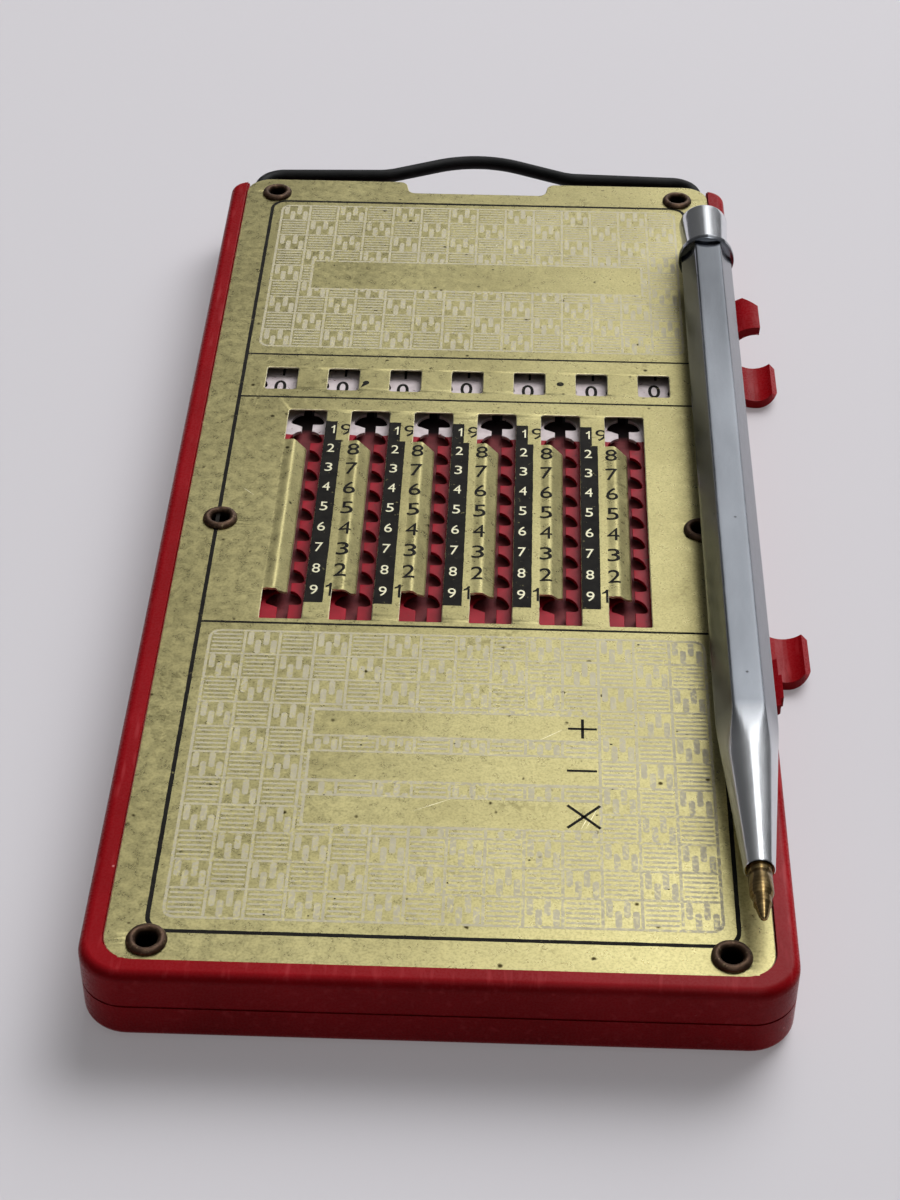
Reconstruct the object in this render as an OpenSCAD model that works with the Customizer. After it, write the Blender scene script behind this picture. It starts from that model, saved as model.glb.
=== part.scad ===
// Pocket slide adder: a red two-part case under a gold face plate, seven notched
// number slides, a wire clearing bar with its cross bar, and a loose chrome pen.
// Millimetres. The case lies on its back: +Z is up, +Y is the end with the bar.

/* [Case] */
// width of the case across its long sides
case_width = 64.2; // [60:0.1:68]
// thickness of the closed case from the table to the rim
case_height = 8.2; // [7.5:0.05:9]
// how far the closed end lies behind the middle of the face
case_bottom = 69.5; // [68:0.1:72]
// how far the two side walls reach towards the open end
case_top = 67.9; // [65:0.1:69]
// plan radius of the two closed corners
corner_round = 4.3; // [3:0.1:6]
// plan radius at the ends of the side walls
wall_end_round = 2.3; // [1:0.1:3]
// rounding of every long outer edge
edge_round = 1; // [0.5:0.1:1.5]
// height of the parting line between the two shells
seam_height = 4.15; // [3.5:0.05:5]
// width and depth of the fine groove at the parting line
seam_groove = 0.12; // [0.05:0.01:0.3]
// thickness of the side and end walls
wall = 2.2; // [1.6:0.1:3]
// thickness of the back
floor_thick = 1.3; // [0.8:0.1:2]

/* [Face plate] */
// width of the gold plate
plate_width = 59.9; // [58:0.1:60.5]
// lower edge of the plate, from the middle
plate_bottom = 67.35; // [66:0.05:68]
// upper edge of the plate, from the middle
plate_top = 68.6; // [67:0.1:70]
// sheet thickness of the plate
plate_thick = 0.25; // [0.2:0.05:0.5]
// height of the upper face of the plate
plate_level = 7.9; // [7.5:0.05:8.1]
// corner radius of the plate
plate_round = 3; // [2:0.1:4]
// half width of the finger notch at its bottom
notch_half = 8.8; // [7:0.1:11]
// how far the notch widens on each side at the edge
notch_flare = 1.2; // [0.5:0.1:2]
// depth of the finger notch
notch_deep = 2.8; // [2:0.1:4]

/* [Windows and slots] */
// distance from one number column to the next
column_pitch = 7.24; // [7:0.01:7.5]
// width of each answer window
window_width = 3.65; // [3:0.05:4.5]
// lower edge of the windows
window_low = 20.8; // [20:0.1:21]
// height of each answer window
window_tall = 4.4; // [3.5:0.05:5]
// width of each slot over its lip and its open part
slot_width = 4.4; // [4:0.1:5]
// width of the part of the slot left open
slot_open = 2.35; // [1.9:0.05:2.5]
// upper end of the slots
slot_high = 16.75; // [15:0.05:17.5]
// lower end of the slots
slot_low = -20.3; // [-21:0.05:-19]
// length of the full-width opening at the upper end
upper_gap = 5.85; // [4:0.05:6]
// length of the full-width opening at the lower end
lower_gap = 4.8; // [4:0.05:6]
// angle at which the lip along the left of each slot is rolled down
lip_angle = 32; // [25:1:45]
// radius of the roll, at the face of the sheet
lip_roll = 0.6; // [0.4:0.05:0.8]
// how far left of the middle of the slot the roll starts
lip_start = 1.5; // [1.3:0.05:1.7]
// angle at which the upper corner of the lip is cut off
lip_cut = 34; // [0:1:45]

/* [Eyelets] */
// distance across the two rows of eyelets
eyelet_across = 52; // [50:0.1:54]
// distance from the middle to the end eyelets
eyelet_end = 65; // [63:0.1:67]
// place of the middle pair along the face
eyelet_mid = -4; // [-6:0.1:-2]
// outer radius of the rolled rim
eyelet_rim = 1.9; // [1.6:0.05:2.2]
// radius of the hole
eyelet_hole = 0.98; // [0.8:0.01:1.0]
// outer radius of the tube under the rim
eyelet_tube = 1.15; // [1.1:0.01:1.2]
// height of the rim over the plate
eyelet_proud = 0.6; // [0.4:0.05:0.8]

/* [Slides] */
// width of one number slide
slide_width = 6.04; // [5.8:0.01:6.4]
// sheet thickness of a slide
slide_thick = 0.4; // [0.3:0.05:0.6]
// height of the upper face of a slide
slide_level = 6.85; // [6.8:0.05:7.2]
// lower end of a slide at zero
slide_low = -27; // [-28:0.1:-26]
// upper end of a slide at zero
slide_high = 59; // [58:0.1:60]
// distance from one notch to the next
notch_pitch = 3.5725; // [3.5:0.0025:3.7]
// depth of a notch into the edge of the slide
tooth_deep = 1.12; // [0.9:0.01:1.3]
// height of a notch at the edge of the slide
tooth_tall = 2.2; // [1.8:0.05:2.6]
// place of the lowest notch along the slide
tooth_first = -16.9; // [-18:0.05:-16]
// number of notches on each edge
tooth_count = 19; // [10:1:19]
// how far the flat of a notch drops towards the right edge of the slide
tooth_slant = 0.45; // [0:0.05:0.8]

/* [Clearing bar] */
// radius of the black wire
wire_radius = 0.87; // [0.6:0.01:0.9]
// distance from the middle of the case to each leg
leg_out = 28.55; // [28.4:0.05:28.6]
// height of the centre of the wire
wire_level = 6.46; // [6.4:0.01:6.5]
// centre of the wire along the open end
wire_end = 71.9; // [71:0.1:73]
// bend radius at the two corners
wire_bend = 3; // [2:0.1:4]
// rise of the finger arch over the straight wire
arch_rise = 3.7; // [3:0.1:5]
// half width of the finger arch
arch_half = 13; // [11:0.1:15]
// steepest slope of the finger arch in degrees
arch_slope = 22; // [18:0.5:30]
// bend radius at the two feet of the arch
arch_foot = 6; // [4:0.1:8]
// centre of the cross bar that pushes the slides home
lifter_place = -61; // [-61.2:0.1:-60.9]
// width of the cross bar
lifter_wide = 1.6; // [1.2:0.1:2]
// thickness of the cross bar
lifter_thick = 1; // [0.6:0.05:1.1]

/* [Guide plate] */
// height of the upper face of the inner floor
guide_level = 6; // [5.8:0.05:6.2]
// thickness of the inner floor
guide_thick = 0.8; // [0.6:0.05:1.2]
// half width of the inner floor
guide_half = 27.4; // [27:0.05:27.4]
// width of the side rails under the plate
rail_wide = 2.4; // [2:0.05:2.4]
// width of the ribs between the slides
rib_wide = 0.6; // [0.4:0.05:0.8]
// lower end of the long rails and ribs
rail_low = -26.2; // [-26.4:0.1:-25]
// thickness of the felt brake strip
felt_thick = 0.35; // [0.3:0.05:0.6]

/* [Pen clips] */
// distance from the side wall to the middle of the pen channel
clip_out = 2.5; // [2:0.1:3.5]
// inner radius of the clips
clip_inner = 3; // [2.8:0.05:3.3]
// thickness of the clips
clip_thick = 1.05; // [0.8:0.05:1.4]
// length of each clip finger
clip_long = 6.9; // [5:0.1:9]
// lower end of the upper finger near the open end
clip_upper_place = 35.4; // [34:0.1:37]
// angle at which a cup ends on its far side
cup_end = 312; // [290:1:330]
// length and width cut off the far corner of the upper finger
finger_cut_long = 2.1; // [1:0.1:4]
finger_cut_wide = 1.75; // [1:0.05:2.5]
// lower end of the cup near the open end
cup_upper_place = 30.1; // [29:0.1:32]
// lower end of the cup near the closed end
cup_lower_place = -20.7; // [-22:0.1:-19]
// lower end of the broken finger near the closed end
stub_place = -31.4; // [-33:0.1:-30]

/* [Pen] */
// distance from the middle of the case to the pen
pen_out = 28.6; // [28:0.1:29]
// height of the axis of the pen
pen_level = 11.45; // [11.4:0.05:12]
// place of the point of the pen
pen_point = -63.7; // [-65:0.1:-62]
// size of the six-sided barrel across its corners
barrel_corners = 6.15; // [5.8:0.05:6.5]
// length of the round cone at the writing end
cone_long = 19.6; // [18:0.1:21]
// outer radius at the mouth of the cone
cone_mouth = 1.42; // [1.3:0.01:1.6]
// distance from the point to the mouth of the cone
point_out = 6; // [5:0.1:7]
// distance from the point to the top of the barrel
barrel_far = 109.5; // [105:0.1:112]
// radius of the round ring at the top of the barrel
ring_radius = 3.38; // [3.2:0.01:3.4]
// length of the ring, and how deep it is hollowed round the barrel
ring_long = 0.9; // [0.5:0.05:2]
ring_hollow = 0.5; // [0.2:0.05:0.7]
// radius of the crown at its free end
crown_wide = 2.97; // [2.8:0.01:3]
// radius of the crown beside the barrel
crown_neck = 2.6; // [2.4:0.01:2.8]
// distance from the point to the free end of the crown
crown_far = 117.3; // [115:0.1:119]
// radius of the brass writing tip
tip_radius = 1.12; // [1:0.01:1.2]

/* [Hidden] */
$fn = 64;
eps = 0.01;
half = 0.5;
whole_turn = 360;
case_red = [0.60, 0.10, 0.15];
gold = [0.76, 0.71, 0.50];
brown_red = [0.42, 0.17, 0.18];
aged_brass = [0.37, 0.29, 0.24];
slide_red = [0.66, 0.16, 0.21];
wire_black = [0.06, 0.06, 0.07];
steel = [0.55, 0.56, 0.57];
chrome = [0.72, 0.74, 0.76];
brass = [0.70, 0.56, 0.33];
ink_blue = [0.2, 0.22, 0.4];
felt_grey = [0.45, 0.44, 0.42];

case_half = case_width * half;
inner_half = case_half - wall;
inner_bottom = -case_bottom + wall;
plate_under = plate_level - plate_thick;
plate_fit = 0.1;
notch_floor = plate_top - notch_deep;
// the notch in the parts behind the plate is a little wider and deeper
back_notch_half = notch_half + notch_flare;
back_notch_floor = notch_floor;

slot_left = -slot_width * half;
slot_split = slot_width * half - slot_open;
slot_round = 0.4;
lip_high = slot_high - upper_gap;
lip_low = slot_low + lower_gap;
lip_root = 0.1;
lip_cut_from = -1.2;
lip_steps = 6;
// points of the rolled part of the lip, from the centre of the roll
function lip_arc(r) = [for (i = [0 : lip_steps]) let (a = lip_angle * i / lip_steps)
    [r * sin(a) - lip_start, r * cos(a) - lip_roll]];

slide_base = slide_level - slide_thick;
slide_travel = 9 * notch_pitch;

// the arch: foot bend, straight, crown bend, straight, foot bend
arch_straight = (arch_rise - (1 - cos(arch_slope)) / sin(arch_slope) * arch_half)
    / (sin(arch_slope) - (1 - cos(arch_slope)) / tan(arch_slope));
arch_sum = (arch_half - arch_straight * cos(arch_slope)) / sin(arch_slope);
arch_top = arch_sum - arch_foot;
leg_low = lifter_place - 1.6;
joint_gap = 0.002;
core_share = 0.7;
core_reach = 0.3;

guide_under = guide_level - guide_thick;
rail_inner = guide_half - rail_wide;
ledge_inner = 28.3;
ledge_top = 5.3;
post_radius = 2.1;
guide_bottom = inner_bottom + 0.05;
guide_top = 66.9;
rail_short = -62.6;
slide_stop = 1;
rib_half = rib_wide * half;
rib_room = 1.2;
rib_top = slide_level + 0.2;
felt_low = 42;
felt_wide = 4;
post_fit = 0.05;
tube_bottom = 2.4;
eyelet_wall_gap = 0.03;
bail_room = 0.3;

pen_corner = barrel_corners * half;
clip_centre = case_half + clip_out;
clip_outer = clip_inner + clip_thick;
eyelet_spots = [for (sx = [-half, half]) for (py = [-eyelet_end, eyelet_mid, eyelet_end])
    [sx * eyelet_across, py]];
window_spots = [for (k = [-3 : 3]) k * column_pitch];
slot_spots = [for (k = [-3 : 2]) (k + half) * column_pitch];

// ---------------------------------------------------------------- shared shapes

// plan outline with separate radii at the closed and the open end
module plan(hw, y0, y1, r0, r1) {
    for (s = [-1, 1]) {
        translate([s * (hw - r0), y0 + r0]) circle(r0);
        translate([s * (hw - r1), y1 - r1]) circle(r1);
    }
    translate([-hw + r0, y0]) square([2 * (hw - r0), y1 - y0 - r1]);
    translate([-hw, y0 + r0]) square([2 * hw, y1 - y0 - r0 - r1]);
    translate([-hw + r1, y1 - r1 - eps]) square([2 * (hw - r1), r1 + eps]);
}

// a rod between two heights along Y
module rod_y(r, y0, y1) {
    translate([0, y0, 0]) rotate([-90, 0, 0]) cylinder(r = r, h = y1 - y0);
}

// a rod along X
module rod_x(r, x0, x1) {
    translate([x0, 0, 0]) rotate([0, 90, 0]) cylinder(r = r, h = x1 - x0);
}

// part of a ring lying in the XY plane
module bend(big, small, from, turn) {
    rotate([0, 0, from]) rotate_extrude(angle = turn) translate([big, 0]) circle(small);
}

// the whole outer body of the closed case with rounded long edges
module case_body() {
    e = edge_round;
    translate([0, 0, e]) linear_extrude(case_height - 2 * e)
        plan(case_half, -case_bottom, case_top, corner_round, wall_end_round);
    linear_extrude(case_height)
        plan(case_half - e, -case_bottom + e, case_top - e, corner_round - e,
            wall_end_round - e);
    for (z = [e, case_height - e]) translate([0, 0, z]) {
        for (s = [-1, 1]) {
            translate([s * (case_half - e), 0, 0])
                rod_y(e, -case_bottom + corner_round, case_top - wall_end_round);
            translate([s * (case_half - corner_round), -case_bottom + corner_round, 0])
                bend(corner_round - e, e, s > 0 ? -90 : 180, 90);
            translate([s * (case_half - wall_end_round), case_top - wall_end_round, 0])
                bend(wall_end_round - e, e, s > 0 ? 0 : 90, 90);
        }
        translate([0, -case_bottom + e, 0])
            rod_x(e, -case_half + corner_round, case_half - corner_round);
        translate([0, case_top - e, 0])
            rod_x(e, -case_half + wall_end_round, case_half - wall_end_round);
    }
}

// the fine groove that shows where the shells meet
module seam_cut(z0, z1) {
    translate([0, 0, z0]) linear_extrude(z1 - z0) difference() {
        plan(case_half + 1, -case_bottom - 1, case_top + 1, corner_round + 1,
            wall_end_round + 1);
        plan(case_half - seam_groove, -case_bottom + seam_groove, case_top - seam_groove,
            corner_round - seam_groove, wall_end_round - seam_groove);
    }
}

// the finger notch through everything behind the plate
module back_notch(z0, z1) {
    translate([-back_notch_half, back_notch_floor, z0])
        cube([2 * back_notch_half, case_top + case_height - back_notch_floor, z1 - z0]);
}

// one clip finger: a slice of tube between two angles, round its own axis
module clip_slice(y0, len, a0, a1) {
    translate([clip_centre, y0, seam_height]) rotate([-90, 0, 0]) mirror([0, 1, 0])
        rotate([0, 0, a0]) rotate_extrude(angle = a1 - a0)
            translate([clip_inner, 0]) square([clip_thick, len]);
}

// ---------------------------------------------------------------- case

module lower_case() color(case_red) {
    difference() {
        case_body();
        translate([-case_width, -case_width * 2, seam_height])
            cube([case_width * 2, case_width * 4, case_height]);
        translate([-inner_half, inner_bottom, floor_thick])
            cube([2 * inner_half, case_width * 3, case_height]);
        seam_cut(seam_height - seam_groove, seam_height + eps);
        back_notch(-1, case_height);
    }
    // posts that carry the inner floor and take the eyelet tubes
    for (p = eyelet_spots) translate([p[0], p[1], floor_thick - eps])
        difference() {
            cylinder(r = post_radius, h = guide_under - floor_thick + eps);
            translate([0, 0, tube_bottom - floor_thick - post_fit])
                cylinder(r = eyelet_tube + post_fit, h = case_height);
        }
    // two long webs under the inner floor
    for (s = [-1, 1]) translate([s * column_pitch * 2 - rib_wide * half, rail_low * 2,
        floor_thick - eps]) cube([rib_wide * 2, rail_low * -4, guide_under - floor_thick + eps]);
    clip_cup(cup_upper_place);
    clip_cup(cup_lower_place);
}

// lower cup: from the wall, under the pen and a little way up the far side
module clip_cup(y0) {
    difference() {
        clip_slice(y0, clip_long, 160, cup_end);
        translate([case_half - wall, y0 - 1, seam_height - seam_groove])
            cube([wall * 2, clip_long + 2, case_height]);
        translate([0, y0 - 1, 0]) cube([case_half - wall * half, clip_long + 2, case_height]);
        // the far outer corner is rounded in plan
        cup_corner(y0);
    }
}

module cup_corner(y0) {
    r = 2.4;
    translate([clip_centre + clip_outer * cos(cup_end) + 0.05 - r, y0 + r, -1])
        difference() {
            translate([0, -r - 1, 0]) cube([r + 2, r + 1, seam_height]);
            translate([0, 0, -1]) cylinder(r = r, h = case_height);
        }
}

module upper_case() color(case_red) {
    difference() {
        case_body();
        translate([-case_width, -case_width * 2, -1])
            cube([case_width * 2, case_width * 4, seam_height + 1]);
        // room for the legs of the clearing bar, over a narrow ledge
        translate([-inner_half, inner_bottom, ledge_top])
            cube([2 * inner_half, case_width * 3, plate_under - ledge_top]);
        translate([-ledge_inner, inner_bottom, 0])
            cube([2 * ledge_inner, case_width * 3, case_height]);
        // recess that holds the plate
        translate([0, 0, plate_under]) linear_extrude(case_height)
            plan(plate_width * half + plate_fit, -plate_bottom - plate_fit,
                case_top * 2, plate_round + plate_fit, plate_round);
        seam_cut(seam_height - eps, seam_height + seam_groove);
    }
    clip_finger();
    clip_stub();
}

// upper finger: from the wall up over the pen, its far corner cut off
module clip_finger() {
    finger_end = 86;
    edge_x = clip_centre + clip_outer * cos(finger_end);
    end_y = clip_upper_place + clip_long;
    difference() {
        clip_slice(clip_upper_place, clip_long, finger_end, 200);
        translate([case_half - wall, clip_upper_place - 1, -1])
            cube([wall * 2, clip_long + 2, seam_height + seam_groove + 1]);
        translate([0, clip_upper_place - 1, 0])
            cube([case_half - wall * half, clip_long + 2, case_height * 2]);
        linear_extrude(case_height * 2)
            polygon([[edge_x - finger_cut_wide, end_y], [edge_x, end_y - finger_cut_long],
                [edge_x + 1, end_y - finger_cut_long], [edge_x + 1, end_y + 1],
                [edge_x - finger_cut_wide, end_y + 1]]);
    }
}

// what is left of the second upper finger
module clip_stub() {
    intersection() {
        clip_slice(stub_place, clip_long, 80, 200);
        union() {
            translate([case_half - wall * half, stub_place, seam_height + seam_groove])
                cube([wall * half + 0.65, clip_long, case_height]);
            translate([case_half - wall * half, stub_place + 0.9, seam_height + seam_groove])
                cube([wall * half + 0.95, clip_long * half, case_height]);
        }
    }
}

// ---------------------------------------------------------------- inside

module guide_block(x0, x1, y0, y1, z1) {
    translate([x0, y0, guide_level - eps]) cube([x1 - x0, y1 - y0, z1 - guide_level + eps]);
}

module guide_plate() color(brown_red) difference() {
    union() {
        translate([-guide_half, guide_bottom, guide_under])
            cube([2 * guide_half, guide_top - guide_bottom, guide_thick]);
        // side rails that carry the plate, clear of the path of the cross bar
        for (x = [-guide_half, rail_inner]) {
            guide_block(x, x + rail_wide, rail_low, guide_top, plate_under);
            guide_block(x, x + rail_wide, guide_bottom, rail_short, plate_under);
        }
        // cross walls at both ends
        guide_block(-rail_inner - eps, rail_inner + eps, guide_bottom, guide_bottom + rail_wide,
            plate_under);
        guide_block(-rail_inner - eps, rail_inner + eps, slide_high + slide_stop,
            slide_high + slide_stop + rail_wide, plate_under);
        // ribs between the slides, clear of the slots and of the felt
        for (x = slot_spots) {
            guide_block(x - rib_half, x + rib_half, rail_low, slot_low - rib_room, rib_top);
            guide_block(x - rib_half, x + rib_half, slot_high + rib_room, felt_low - rib_room,
                rib_top);
            guide_block(x - rib_half, x + rib_half, felt_low + felt_wide + rib_room,
                slide_high + slide_stop + eps, rib_top);
        }
    }
    for (p = eyelet_spots) translate([p[0], p[1], 0])
        cylinder(r = eyelet_tube + post_fit, h = case_height);
    back_notch(0, case_height);
}

// felt strip that keeps the slides from falling
module brake_strip() color(felt_grey) translate([-rail_inner + post_fit, felt_low, guide_level])
    cube([2 * (rail_inner - post_fit), felt_wide, felt_thick]);

// ---------------------------------------------------------------- face plate

module face_outline() {
    difference() {
        plan(plate_width * half, -plate_bottom, plate_top, plate_round, plate_round);
        // finger notch with flared ends
        translate([-notch_half, notch_floor]) square([2 * notch_half, notch_deep + 1]);
        for (s = [-1, 1]) {
            translate([s * notch_half, plate_top - notch_flare]) difference() {
                square([2 * notch_flare, 2 * notch_flare], center = true);
                translate([s * notch_flare, -notch_flare]) circle(notch_flare);
                translate([s > 0 ? -2 * notch_flare : 0, -notch_flare * 2])
                    square([2 * notch_flare, notch_flare * 4]);
            }
        }
        for (x = window_spots) translate([x - window_width * half, window_low])
            square([window_width, window_tall]);
        for (x = slot_spots) translate([x, 0]) slot_outline();
        for (p = eyelet_spots) translate(p) circle(eyelet_tube + post_fit);
    }
}

// one slot: open right part, wide openings at both ends
module slot_outline() {
    translate([slot_split, slot_low]) square([slot_open, slot_high - slot_low - slot_round]);
    translate([slot_left, slot_low]) square([slot_width, lower_gap]);
    translate([slot_left, lip_high]) square([slot_width, upper_gap - slot_round]);
    translate([slot_left + slot_round, lip_high])
        square([slot_width - 2 * slot_round, upper_gap]);
    for (x = [slot_left + slot_round, -slot_left - slot_round])
        translate([x, slot_high - slot_round]) circle(slot_round);
    // beside the lip the flat sheet stops where the roll starts
    translate([-lip_start, lip_low - eps])
        square([slot_split + lip_start + eps, lip_high - lip_low + 2 * eps]);
}

// section of the lip's sheet, rooted inside the sheet of the plate
module lip_section() {
    upper = lip_arc(lip_roll);
    lower = lip_arc(lip_roll - plate_thick);
    run = (slot_split - upper[lip_steps][0]) / cos(lip_angle);
    ahead = run * [cos(lip_angle), -sin(lip_angle)];
    polygon(concat([[-lip_start - lip_root, -plate_thick * 0.3]],
        upper, [upper[lip_steps] + ahead, lower[lip_steps] + ahead],
        [for (i = [lip_steps : -1 : 0]) lower[i]],
        [[-lip_start - lip_root, -plate_thick * 0.7]]));
}

// lip rolled down from the left side of a slot, between its two wide ends
module lip() difference() {
    translate([0, lip_high, plate_level]) rotate([90, 0, 0])
        linear_extrude(lip_high - lip_low) lip_section();
    translate([lip_cut_from, lip_high, 0]) rotate([0, 0, -lip_cut])
        cube([slot_width, slot_width, case_height]);
}

module face_plate() color(gold) {
    translate([0, 0, plate_under]) linear_extrude(plate_thick) face_outline();
    for (x = slot_spots) translate([x, 0, 0]) lip();
}

// rolled tubular eyelets, each one turned from a single profile
module eyelets() color(aged_brass) for (p = eyelet_spots) translate([p[0], p[1], 0])
    rotate_extrude() {
        lip = eyelet_proud * half;
        translate([eyelet_hole + eyelet_wall_gap, tube_bottom])
            square([eyelet_tube - eyelet_hole - eyelet_wall_gap, plate_level + lip - tube_bottom]);
        translate([eyelet_hole + lip, plate_level])
            square([eyelet_rim - eyelet_hole - 2 * lip, eyelet_proud]);
        for (x = [eyelet_hole + lip, eyelet_rim - lip]) translate([x, plate_level + lip])
            circle(lip);
    }

// ---------------------------------------------------------------- slides

module slide(n) color(slide_red) translate([window_spots[n], 0, slide_base])
    linear_extrude(slide_thick) difference() {
        translate([-slide_width * half, slide_low])
            square([slide_width, slide_high - slide_low]);
        for (s = [-1, 1], k = [0 : tooth_count - 1])
            translate([s * slide_width * half, tooth_first + k * notch_pitch]) hook(s);
    }

// one notch: flat below with a round inner corner, and a leaning curve above it
module hook(s) {
    steps = 6;
    corner = 0.35;
    lean = 1.4;
    polygon(concat(
        [for (i = [0 : steps]) let (a = 90 * i / steps)
            [-s * tooth_deep * pow(cos(a), lean),
                corner + (tooth_tall - corner) * pow(sin(a), lean)]],
        [[s, tooth_tall], [s, s > 0 ? -tooth_slant : 0], [0, s > 0 ? -tooth_slant : 0]],
        [for (a = [0 : 30 : 60]) [-s * (tooth_deep - corner + corner * sin(a)),
            corner * (1 - cos(a))]]));
}

module slide_1() slide(0);
module slide_2() slide(1);
module slide_3() slide(2);
module slide_4() slide(3);
module slide_5() slide(4);
module slide_6() slide(5);
module slide_7() slide(6);

// ---------------------------------------------------------------- clearing bar

// a straight length of wire along Y; its core runs on a little way into the bends
module wire_run(len) {
    translate([0, joint_gap, 0]) rod_y(wire_radius, 0, len - 2 * joint_gap);
    rod_y(wire_radius * core_share, -core_reach, len + core_reach);
}

module clearing_bar() color(wire_black) translate([0, 0, wire_level]) {
    for (s = [-1, 1]) {
        translate([s * leg_out, leg_low, 0]) wire_run(wire_end - wire_bend - leg_low);
        translate([s * (leg_out - wire_bend), wire_end - wire_bend, 0])
            bend(wire_bend, wire_radius, s > 0 ? 0 : 90, 90);
        translate([s * arch_half, wire_end, 0]) rotate([0, 0, -s * 90])
            wire_run(leg_out - wire_bend - arch_half);
        // foot of the arch
        translate([s * arch_half, wire_end + arch_foot, 0])
            bend(arch_foot, wire_radius, s > 0 ? -90 - arch_slope : -90, arch_slope);
        // straight flank of the arch
        translate([s * (arch_half - arch_foot * sin(arch_slope)),
            wire_end + arch_foot * (1 - cos(arch_slope)), 0])
            rotate([0, 0, s * (90 - arch_slope)]) wire_run(arch_straight);
    }
    // top of the arch
    translate([0, wire_end + arch_rise - arch_top, 0])
        bend(arch_top, wire_radius, 90 - arch_slope, 2 * arch_slope);
}

// flat cross bar crimped to both legs, under the lower ends of the slides
module clearing_lifter() color(steel)
    translate([-leg_out - wire_radius, lifter_place - lifter_wide * half,
        wire_level - lifter_thick * half + 0.2])
        cube([2 * (leg_out + wire_radius), lifter_wide, lifter_thick]);

// ---------------------------------------------------------------- pen

module along_pen() translate([pen_out, pen_point, pen_level]) rotate([-90, 0, 0]) children();

bore_small = 1.2;
bore_big = 1.9;
bore_step = point_out + cone_long * 0.75;

module pen_barrel() color(chrome) along_pen() difference() {
    union() {
        intersection() {
            translate([0, 0, point_out]) cylinder(r = pen_corner, h = barrel_far - point_out, $fn = 6);
            union() {
                translate([0, 0, point_out])
                    cylinder(r1 = cone_mouth, r2 = pen_corner, h = cone_long);
                translate([0, 0, point_out + cone_long - eps])
                    cylinder(r = pen_corner + 1, h = barrel_far);
            }
        }
        // round ring at the top, hollowed a little round the barrel
        translate([0, 0, barrel_far - ring_long]) difference() {
            cylinder(r = ring_radius, h = ring_long);
            translate([0, 0, -eps]) cylinder(r = pen_corner + 0.05, h = ring_hollow);
        }
    }
    cylinder(r = bore_small, h = barrel_far);
    translate([0, 0, bore_step]) cylinder(r = bore_big, h = barrel_far);
}

crown_low = barrel_far + 0.3;
crown_stem = 1.7;

module pen_crown() color(chrome) along_pen() difference() {
    union() {
        translate([0, 0, barrel_far - 8]) cylinder(r = crown_stem, h = 8.5);
        translate([0, 0, crown_low + 0.25])
            cylinder(r1 = crown_neck, r2 = crown_wide, h = crown_far - crown_low - 0.55);
        translate([0, 0, crown_low]) cylinder(r1 = crown_neck - 0.15, r2 = crown_neck, h = 0.25);
        translate([0, 0, crown_far - 0.3])
            cylinder(r1 = crown_wide, r2 = crown_wide - 0.3, h = 0.3);
    }
    // shallow dish in the free end
    translate([0, 0, crown_far + 6.5]) sphere(6.8);
}

tube_low = 14;
tube_high = barrel_far - 8;

module pen_refill() color(ink_blue) along_pen() {
    translate([0, 0, tube_low]) cylinder(r = 0.95, h = tube_high - tube_low);
    // collar that presses on the spring
    translate([0, 0, bore_step + 12.2]) cylinder(r = 1.65, h = 1.5);
}

module pen_tip() color(brass) along_pen() {
    sphere_r = 0.35;
    translate([0, 0, sphere_r]) sphere(sphere_r);
    translate([0, 0, sphere_r]) cylinder(r1 = sphere_r, r2 = 0.72, h = 2.35);
    translate([0, 0, 2.7]) cylinder(r1 = 0.78, r2 = tip_radius, h = 0.8);
    translate([0, 0, 3.5]) cylinder(r = tip_radius, h = tube_low - 3.5);
}

// the return spring, drawn as closed turns
module pen_spring() color(steel) along_pen()
    for (k = [0 : 9]) translate([0, 0, bore_step + 0.4 + k * 1.25])
        rotate_extrude() translate([1.45, 0]) circle(0.22, $fn = 24);

// ---------------------------------------------------------------- nodes

lower_case();
upper_case();
guide_plate();
brake_strip();
face_plate();
eyelets();
slide_1();
slide_2();
slide_3();
slide_4();
slide_5();
slide_6();
slide_7();
clearing_bar();
clearing_lifter();
pen_barrel();
pen_crown();
pen_refill();
pen_tip();
pen_spring();
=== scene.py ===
"""The looks of a pocket slide adder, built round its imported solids.

Lengths are written in millimetres and become metres when a piece is finished.
"""

import math
import random

import bmesh
import bpy
from mathutils import Matrix, Vector, noise


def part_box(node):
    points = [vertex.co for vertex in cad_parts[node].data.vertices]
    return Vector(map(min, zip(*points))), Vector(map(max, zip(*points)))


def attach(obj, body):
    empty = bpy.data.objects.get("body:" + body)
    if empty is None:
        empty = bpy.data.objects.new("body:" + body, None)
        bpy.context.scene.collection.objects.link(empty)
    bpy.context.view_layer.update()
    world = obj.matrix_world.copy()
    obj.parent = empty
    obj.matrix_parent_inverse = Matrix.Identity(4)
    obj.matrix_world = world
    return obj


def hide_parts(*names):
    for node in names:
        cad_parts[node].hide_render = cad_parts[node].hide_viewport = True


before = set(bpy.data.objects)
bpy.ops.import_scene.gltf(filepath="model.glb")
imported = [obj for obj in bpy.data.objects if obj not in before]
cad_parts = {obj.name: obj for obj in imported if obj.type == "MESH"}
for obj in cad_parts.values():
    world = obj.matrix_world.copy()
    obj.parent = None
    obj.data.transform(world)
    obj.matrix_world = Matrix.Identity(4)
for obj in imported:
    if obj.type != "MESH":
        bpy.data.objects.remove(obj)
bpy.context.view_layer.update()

MM = 0.001


# ------------ measures

def span(node):
    """Lowest and highest corner of a CAD node, in millimetres."""
    return [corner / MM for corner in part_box(node)]


# The gold sheet, and the finger notch in its far edge.
PLATE_TOP, PLATE_THICK, PLATE_ROUND = 7.9, 0.25, 3
PLATE_LOW, PLATE_HIGH = span("face_plate")
NOTCH_HALF = 8.8
NOTCH_FLOOR = PLATE_HIGH.y - 2.8

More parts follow.
